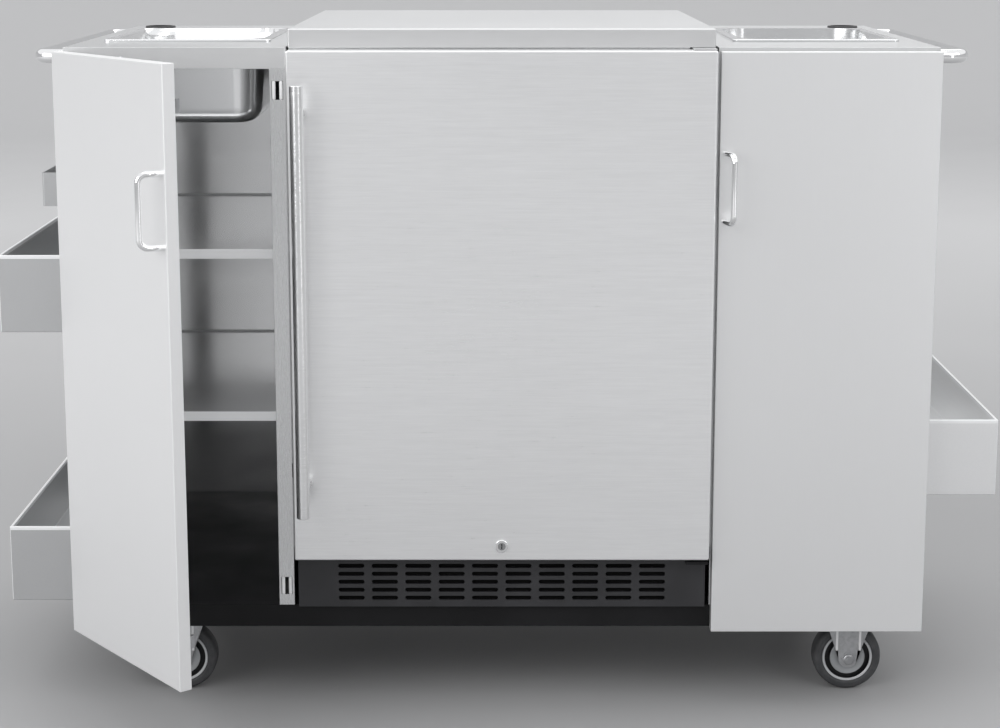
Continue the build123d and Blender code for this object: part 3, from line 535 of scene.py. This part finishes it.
# The shelves' front edges take the painted highlight.
refinished(shelves, painted_highlight_edge, lambda at, way: way.y < -0.6)


# Shelf beads: a slim, darker satin steel bead along the back edge of each shelf, laid in the corner
# between the shelf and the cabinet's back, where it paints a shadow line at the joint.
def from_shape(name, shape, finish, body, smooth=35):
    mesh = bpy.data.meshes.new(name)
    shape.to_mesh(mesh)
    shape.free()
    mesh.shade_smooth()
    mesh.set_sharp_from_angle(angle=math.radians(smooth))
    mesh.materials.append(finish.material)
    return carried(placed(name, mesh), body)


def strip(name, low, high, finish, round_over):
    """A flat bar between two corners with its edges rounded over."""
    shape = bmesh.new()
    bmesh.ops.create_cube(shape, size=1.0)
    low, high = Vector(low), Vector(high)
    for v in shape.verts:
        v.co = Vector([low[i] + (v.co[i] + 0.5) * (high[i] - low[i]) for i in range(3)])
    bmesh.ops.bevel(shape, geom=shape.edges[:], offset=round_over, segments=3, profile=0.5, affect="EDGES")
    return from_shape(name, shape, finish, "cart", 60)


# Darker than the shelves and the cabinet's back: the bead is a painted shadow line.
shade_line_steel = brushed_steel("satin_steel_bead", "x", (0.5, 0.504, 0.508), 0.02, 0.3, 0.9)
shelf_tops = {"lower": 0.439, "upper": 0.676}
divider_face = 0.3245
panel_face = 0.608
bead_front, bead_back = front + 0.5803, front + 0.5829
for s, side in ((-1, "left"), (1, "right")):
    x0, x1 = sorted((s * divider_face, s * panel_face))
    for level, top in shelf_tops.items():
        low, high = (x0, bead_front, top - 0.0004), (x1, bead_back, top + 0.0024)
        strip(f"{side}_{level}_shelf_bead", low, high, shade_line_steel, 0.0004)

# Shelf clips and small fixings: zinc plated clips folded from strip, a rivet through each to hold
# it under its shelf, and a button pressed into each counter's front.
rivet_tree, rivet = nodes_tree("rivet_heads", ("Head radius", "Head height", "Finish"))
start = rivet["Places"]
ball = start.out(
    "GeometryNodeMeshUVSphere", None, {"Segments": 20, "Rings": 10, "Radius": rivet["Head radius"]}
)
flat = start.out(
    "ShaderNodeCombineXYZ", None,
    {"X": 1.0, "Y": 1.0, "Z": start.maths("DIVIDE", rivet["Head height"], rivet["Head radius"])},
)
dome = start.out("GeometryNodeTransform", None, {"Geometry": ball, "Scale": flat})
set_out(rivet_tree, rivet, start.out("GeometryNodeSetShadeSmooth", None, {"Geometry": dome}))
eased("cabinet_fixings", zinc_finish, 0.0003)
clip_down = 0.019
inner_clip = 0.336
outer_clip = 0.5965
clip_rivets = []
for s in (-1, 1):
    for top in shelf_tops.values():
        for y in (0.092, 0.512):
            clip_rivets.append(((s * inner_clip, front + y, top - clip_down), (s, 0, 0)))
            clip_rivets.append(((s * outer_clip, front + y, top - clip_down), (-s, 0, 0)))
grown(
    "shelf_clip_rivets", rivet_tree, clip_rivets, "cart", "zinc", head_radius=0.0032, head_height=0.0016,
    finish=bright_zinc.material,
)
buttons = [((s * 0.528, front - 0.0012, 0.946), (0, -1, 0)) for s in (-1, 1)]
grown(
    "counter_buttons", rivet_tree, buttons, "cart", "zinc", head_radius=0.0042, head_height=0.0011,
    finish=bright_zinc.material,
)


# Roller catches: a black housing let into each post, with two white upright rollers whose ends
# are rounded, standing just proud of the steel.
def split(name, keep):
    """A copy of the solids of a node that the test picks, by their size."""
    shape = merged(name)
    unseen = set(shape.verts)
    drop = []
    while unseen:
        island = [unseen.pop()]
        for v in island:
            for e in v.link_edges:
                other = e.other_vert(v)
                if other in unseen:
                    unseen.remove(other)
                    island.append(other)
        spans = [max(v.co[i] for v in island) - min(v.co[i] for v in island) for i in range(3)]
        if not keep(spans):
            drop += island
    bmesh.ops.delete(shape, geom=drop, context="VERTS")
    return shape


black_plastic = moulded_plastic("black_plastic", (0.014, 0.014, 0.015), (0.026, 0.026, 0.028), 0.36)
roller_white = moulded_plastic("roller_white", (0.93, 0.93, 0.94), (0.98, 0.98, 0.98), 0.2)
housing_least = 0.008
housings = split("roller_catches", lambda spans: spans[0] > housing_least)
housings = from_shape("catch_housings", housings, black_plastic, "cart")
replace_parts(housings, "roller_catches")
rollers = split("roller_catches", lambda spans: spans[0] < housing_least)
from_shape("catch_rollers", rollers, roller_white, "cart")


# Counters and drop-in pans: satin stainless tops cut for pressed pans with raised rims, and
# black plastic grommets in the rear corners.
def polished_steel(name, tone, low, high):
    bright = Finish(name, Metallic=1.0)
    haze = bright.noise(9.0, 3.0).over(0.3, 0.75)
    fine = bright.noise(900.0, 2.0).over(0.4, 0.7)
    bright.feed(
        Base_Color=bright.mixed(haze, tuple(c * 0.97 for c in tone), tone),
        Roughness=low + (high - low) * (0.7 * haze + 0.3 * fine),
    )
    return bright


header_steel = brushed_steel("satin_steel_header", "x", (0.71, 0.713, 0.716), 0.01, 0.28, 0.8)
for side in ("left", "right"):
    refinished(eased(f"{side}_counter", level_steel, 0.0005), header_steel, lambda at, way: way.y < -0.5)
pan_steel = polished_steel("pressed_pan_steel", (0.9, 0.905, 0.91), 0.18, 0.22)
for side in ("left", "right"):
    eased(f"{side}_pan", pan_steel, 0, 40)
eased("grommets", black_plastic, 0, 35)

# Side doors: folded skins and inner sheets of satin stainless on slim hinges, with bent rod
# pulls and the tongues that enter the roller catches.
inner_satin = brushed_steel("satin_steel_inner", "z", (0.85, 0.853, 0.856), 0.01, 0.42, 1.0)
door_satin = brushed_steel("satin_steel_door", "z", (0.84, 0.843, 0.846), 0.008, 0.32, 0.8)
# The open left door's skin takes a lighter copy of the door steel, painted light for the softbox it faces.
lit_door_satin = brushed_steel("satin_steel_open_door", "z", (0.92, 0.922, 0.924), 0.006, 0.32, 0.7)
for side, skin_finish in (("left", lit_door_satin), ("right", door_satin)):
    eased(f"{side}_door_skin", skin_finish, 0.0005)
    eased(f"{side}_door_inner", inner_satin, 0.0003)
polished = polished_steel("polished_stainless", (0.9, 0.903, 0.906), 0.05, 0.08)
for side in ("left", "right"):
    eased(f"{side}_door_pull", polished, 0, 40)
for name in ("hinge_leaves", "left_door_fittings", "right_door_fittings"):
    eased(name, zinc_finish, 0, 35)


# End rails and bin: stainless trays with folded hems, each held to the cart's end by two cross
# recess screws, and the bent tubes to push the cart by.
def hemmed(piece, tall, finish):
    """Marks off the top of a tray's walls, where the sheet is folded back on itself."""
    shape = bmesh.new()
    shape.from_mesh(piece.data)
    fold = max(v.co.z for v in shape.verts) - tall
    whole = shape.verts[:] + shape.edges[:] + shape.faces[:]
    bmesh.ops.bisect_plane(shape, geom=whole, plane_co=(0, 0, fold), plane_no=(0, 0, 1), dist=1e-6)
    shape.to_mesh(piece.data)
    shape.free()
    refinished(piece, finish, lambda at, way: at.z > fold)


# The left rails, the bin and the left bay edging take a darker copy of the rail steel as painted shade; the
# right rail and the right bay edging take a lighter copy as painted light.
shaded_rail_steel = brushed_steel("satin_steel_rail", "y", (0.54, 0.545, 0.55), 0.03, 0.28, 0.85)
lit_rail_steel = brushed_steel("satin_steel_right_rail", "y", (0.86, 0.863, 0.866), 0.03, 0.28, 0.85)
for name, finish in (
    ("left_lower_rail", shaded_rail_steel),
    ("left_upper_rail", shaded_rail_steel),
    ("right_rail", lit_rail_steel),
):
    tray = eased(name, finish, 0.0009)
    # The folded hem on top of each tray's walls and its front outer corners take the painted highlight.
    hemmed(tray, 0.005, painted_highlight_edge)
    refinished(tray, painted_highlight_edge, lambda at, way: abs(way.x) > 0.3 and abs(way.y) > 0.3 and abs(at.x) > 0.7)
eased("side_bin", shaded_rail_steel, 0.0005)
eased("push_handles", polished, 0, 40)
screw_tree, screw = nodes_tree(
    "cross_recess_screws", ("Head radius", "Head height", "Recess length", "Recess width", "Finish")
)
start = screw["Places"]
head = start.out(
    "GeometryNodeMeshCone", None,
    {"Vertices": 24, "Radius Top": 0.7 * screw["Head radius"], "Radius Bottom": screw["Head radius"],
     "Depth": screw["Head height"]},
)
sunk = 0.9 * screw["Head height"]
arms = []
for along, across in (("Recess length", "Recess width"), ("Recess width", "Recess length")):
    size = start.out("ShaderNodeCombineXYZ", None, {"X": screw[along], "Y": screw[across], "Z": sunk})
    arms.append(lifted(start.out("GeometryNodeMeshCube", None, {"Size": size}), z=screw["Head height"]))
cut = start.node("GeometryNodeMeshBoolean", {"operation": "DIFFERENCE"}, {"Mesh 1": head})
for arm in arms:
    screw_tree.links.new(arm.socket, cut.inputs["Mesh 2"])
set_out(screw_tree, screw, Tone(screw_tree, cut.outputs["Mesh"]))
end_face = 0.6113
rail_screws = []
for s, levels in ((-1, (0.234, 0.635)), (1, (0.394,))):
    for z in levels:
        for y in (0.085, 0.505):
            rail_screws.append(((s * end_face, front + y, z), (s, 0, 0)))
grown(
    "rail_screws", screw_tree, rail_screws, "cart", "zinc", head_radius=0.0061, head_height=0.003,
    recess_length=0.0056, recess_width=0.0012, finish=bright_zinc.material,
)
bin_screws = [((-end_face, front + y, 0.75), (-1, 0, 0)) for y in (0.19, 0.26)]
grown(
    "bin_screws", screw_tree, bin_screws, "cart", "zinc", head_radius=0.005, head_height=0.0028,
    recess_length=0.0046, recess_width=0.001, finish=bright_zinc.material,
)

# Screws of the door pulls, on the inner sheet of each side door: the left door stands open, so
# its two are turned about the hinge with it.
pull_x = 0.3115
inner_sheet = front - 0.0027
pull_screws = [((pull_x, inner_sheet, z), (0, 1, 0)) for z in (0.72, 0.816)]
opened = math.radians(-51)
along_door = Vector((math.cos(opened), math.sin(opened), 0))
into_door = Vector((-math.sin(opened), math.cos(opened), 0))
hinge = Vector((-0.609, front - 0.0029, 0))
swung_screws = []
for (x, y, z), facing in pull_screws:
    arm = Vector((-x, y, z)) - hinge
    swung_screws.append((hinge + along_door * arm.x + into_door * arm.y + Vector((0, 0, arm.z)), into_door))
for side, places in (("right", pull_screws), ("left", swung_screws)):
    grown(
        f"{side}_pull_screws", screw_tree, places, f"{side}_door", "zinc", head_radius=0.0044,
        head_height=0.0019, recess_length=0.0042, recess_width=0.001, finish=bright_zinc.material,
    )

# Refrigerator body: a black coated steel case, white moulded liner with wire racks, a cover
# over the evaporator and a control box with its knob.
eased("fridge_case", black_coat, 0.0003)
screw_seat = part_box("fridge_case")[1][1] - 0.0002
screw_step = 0.1
side_row, lowest_screw, top_row = 0.286, 0.38, 0.944
case_screws = []
for s in (-1, 1):
    for k in range(6):
        case_screws.append(((s * side_row, screw_seat, lowest_screw + screw_step * k), (0, 1, 0)))
for k in range(-2, 3):
    case_screws.append(((screw_step * k, screw_seat, top_row), (0, 1, 0)))
grown(
    "case_screws", screw_tree, case_screws, "cart", "zinc", head_radius=0.0042, head_height=0.002,
    recess_length=0.0042, recess_width=0.001, finish=zinc_finish.material,
)
white_plastic = moulded_plastic("white_plastic", (0.835, 0.84, 0.835), (0.85, 0.855, 0.85), 0.26, 500.0)
eased("fridge_liner", white_plastic, 0.0008)
eased("fridge_racks", bright_zinc, 0, 35)
eased("evaporator_cover", white_plastic, 0.0006)
eased("control_box", white_plastic, 0, 35)
eased("thermostat_knob", white_plastic, 0, 35)
grip_tree, grip = nodes_tree("knob_grips", ("Grip radius", "Grip length", "Finish"))
start = grip["Places"]
bar = start.out(
    "GeometryNodeMeshCylinder", None,
    {"Vertices": 10, "Radius": grip["Grip radius"], "Depth": grip["Grip length"]},
)
laid = start.out("GeometryNodeTransform", None, {"Geometry": bar, "Rotation": (math.pi / 2, 0, 0)})
set_out(grip_tree, grip, laid)
low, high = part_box("thermostat_knob")
knob_middle = Vector(((low[0] + high[0]) / 2, low[1] + 0.0095, (low[2] + high[2]) / 2))
grip_reach = 0.0148
grip_count = 24
ridges = []
for k in range(grip_count):
    turn = 2 * math.pi * k / grip_count
    way = Vector((math.cos(turn), 0, math.sin(turn)))
    ridges.append((knob_middle + grip_reach * way, way))
grown(
    "knob_grips", grip_tree, ridges, "thermostat", "white_plastic", grip_radius=0.0009, grip_length=0.0085,
    finish=white_plastic.material,
)

# Machine space: compressor with its terminal cover, finned condenser with return bends, the fan,
# and the copper pipe between them. All of it stands on the case's base plate.
eased("compressor", black_coat, 0, 40)
fin_metal = polished_steel("condenser_fins", (0.55, 0.56, 0.57), 0.3, 0.45)
eased("condenser", fin_metal, 0, 35)
eased("condenser_fan", black_plastic, 0, 35)
eased("cord_gland", black_plastic, 0, 35)
strip(
    "terminal_cover", (-0.196, front + 0.522, 0.196), (-0.144, front + 0.553, 0.246), black_plastic,
    0.005,
)
copper = polished_steel("copper_pipe", (0.72, 0.36, 0.22), 0.22, 0.4)
bend_tree, bend = nodes_tree("return_bends", ("Bend radius", "Tube radius", "Finish"))
start = bend["Places"]
arc = start.out(
    "GeometryNodeCurveArc", None,
    {"Resolution": 14, "Radius": bend["Bend radius"], "Start Angle": 0.0, "Sweep Angle": math.pi},
)
round_tube = start.out(
    "GeometryNodeCurvePrimitiveCircle", None, {"Resolution": 14, "Radius": bend["Tube radius"]}
)
looped = start.out(
    "GeometryNodeCurveToMesh", None, {"Curve": arc, "Profile Curve": round_tube, "Fill Caps": True}
)
stood_up = start.out("GeometryNodeTransform", None, {"Geometry": looped, "Rotation": (math.pi / 2, 0, 0)})
set_out(bend_tree, bend, stood_up)
bends = [((0.252, front + y, z), (1, 0, 0)) for y in (0.42, 0.51) for z in (0.1982, 0.2582)]
grown(
    "condenser_bends", bend_tree, bends, "cart", "fins", bend_radius=0.015, tube_radius=0.005,
    finish=copper.material,
)
run = bpy.data.curves.new("discharge_pipe", "CURVE")
run.dimensions = "3D"
run.bevel_depth = 0.0035
run.bevel_resolution = 4
run.use_fill_caps = True
route = (
    (-0.128, 0.452, 0.275), (-0.1, 0.47, 0.318), (-0.06, 0.5, 0.3355), (0.06, 0.515, 0.3365),
    (0.18, 0.515, 0.3365), (0.262, 0.514, 0.336), (0.272, 0.511, 0.318), (0.268, 0.51, 0.304),
    (0.25, 0.51, 0.3032),
)
line = run.splines.new("NURBS")
line.points.add(len(route) - 1)
for point, (x, y, z) in zip(line.points, route):
    point.co = (x, front + y, z, 1)
line.order_u = 3
line.use_endpoint_u = True
line.resolution_u = 8
pipe = placed("discharge_pipe_run", run)
pipe_mesh = bpy.data.meshes.new_from_object(pipe.evaluated_get(bpy.context.evaluated_depsgraph_get()))
bpy.data.objects.remove(pipe)
pipe_mesh.materials.clear()
pipe_mesh.materials.append(copper.material)
pipe_mesh.shade_smooth()
carried(placed("discharge_pipe", pipe_mesh), "cart")

# Kick grille and hinge brackets: moulded dark plastic with rounded slots and a black dust filter
# pressed in behind them, and the door's steel brackets, the upper satin and the lower black.
grille_plastic = moulded_plastic("grille_plastic", (0.018, 0.018, 0.02), (0.026, 0.026, 0.029), 0.42)
eased("kick_grille", grille_plastic, 0.0007)
filter_foam = moulded_plastic("filter_foam", (0.002, 0.002, 0.002), (0.004, 0.004, 0.004), 0.85, 700.0)
filter_foam.shader.inputs["Specular IOR Level"].default_value = 0.1
strip(
    "grille_filter", (-0.292, front - 0.0038, 0.1535), (0.292, front - 0.0008, 0.2205), filter_foam,
    0.0008,
)
refinished(eased("fridge_hinges", black_coat, 0, 35), header_steel, lambda at, way: at.z > 0.9)

# Refrigerator door: a stainless skin brushed from side to side round a white moulded liner and
# a dark magnetic seal, with a lock and a tubular handle polished in fine rings round its length.
door_steel = brushed_steel("brushed_steel_door", "x", (0.91, 0.913, 0.916), 0.06, 0.26, 0.88)
eased("fridge_door_skin", door_steel, 0)
eased("fridge_door_liner", white_plastic, 0, 35)
seal_rubber = moulded_plastic("seal_rubber", (0.02, 0.02, 0.021), (0.035, 0.035, 0.036), 0.55)
eased("fridge_gasket", seal_rubber, 0.001)
eased("divider_pad", seal_rubber, 0.0004)
tube_steel = polished_steel("brushed_tube_steel", (0.9, 0.903, 0.906), 0.06, 0.1)
rings = tube_steel.noise(1.0, 2.0, tube_steel.stretched((2, 2, 2500)))
tube_steel.bump(rings, 0.6, 0.00026)
eased("fridge_handle", tube_steel, 0, 40)
eased("lock_barrel", polished, 0, 35)
plug_steel = polished_steel("lock_plug_steel", (0.42, 0.425, 0.43), 0.12, 0.2)
eased("lock_plug", plug_steel, 0, 35)

# Worktop over the refrigerator: a thick satin stainless cap with a rounded front edge, a thin
# lip folded under it, and edging strips beside the door that close the bay's two gaps.
refinished(eased("center_top", level_steel, 0.0004), header_steel, lambda at, way: way.y < -0.5)
lip_low, lip_high = (-0.2965, front + 0.0016, 0.96), (0.262, front + 0.013, 0.9622)
strip("worktop_lip", lip_low, lip_high, level_steel, 0.0006)
edging_foot = 0.24
# The left edging takes the shaded copy of the rail steel and the right edging the lit copy: painted shade
# and painted light.
for side, x0, x1, top, finish in (
    ("left", -0.3024, -0.2997, 0.9618, shaded_rail_steel),
    ("right", 0.2997, 0.3024, 0.955, lit_rail_steel),
):
    low, high = (x0, front + 0.0003, edging_foot), (x1, front + 0.0035, top)
    strip(f"{side}_bay_edging", low, high, finish, 0.0005)
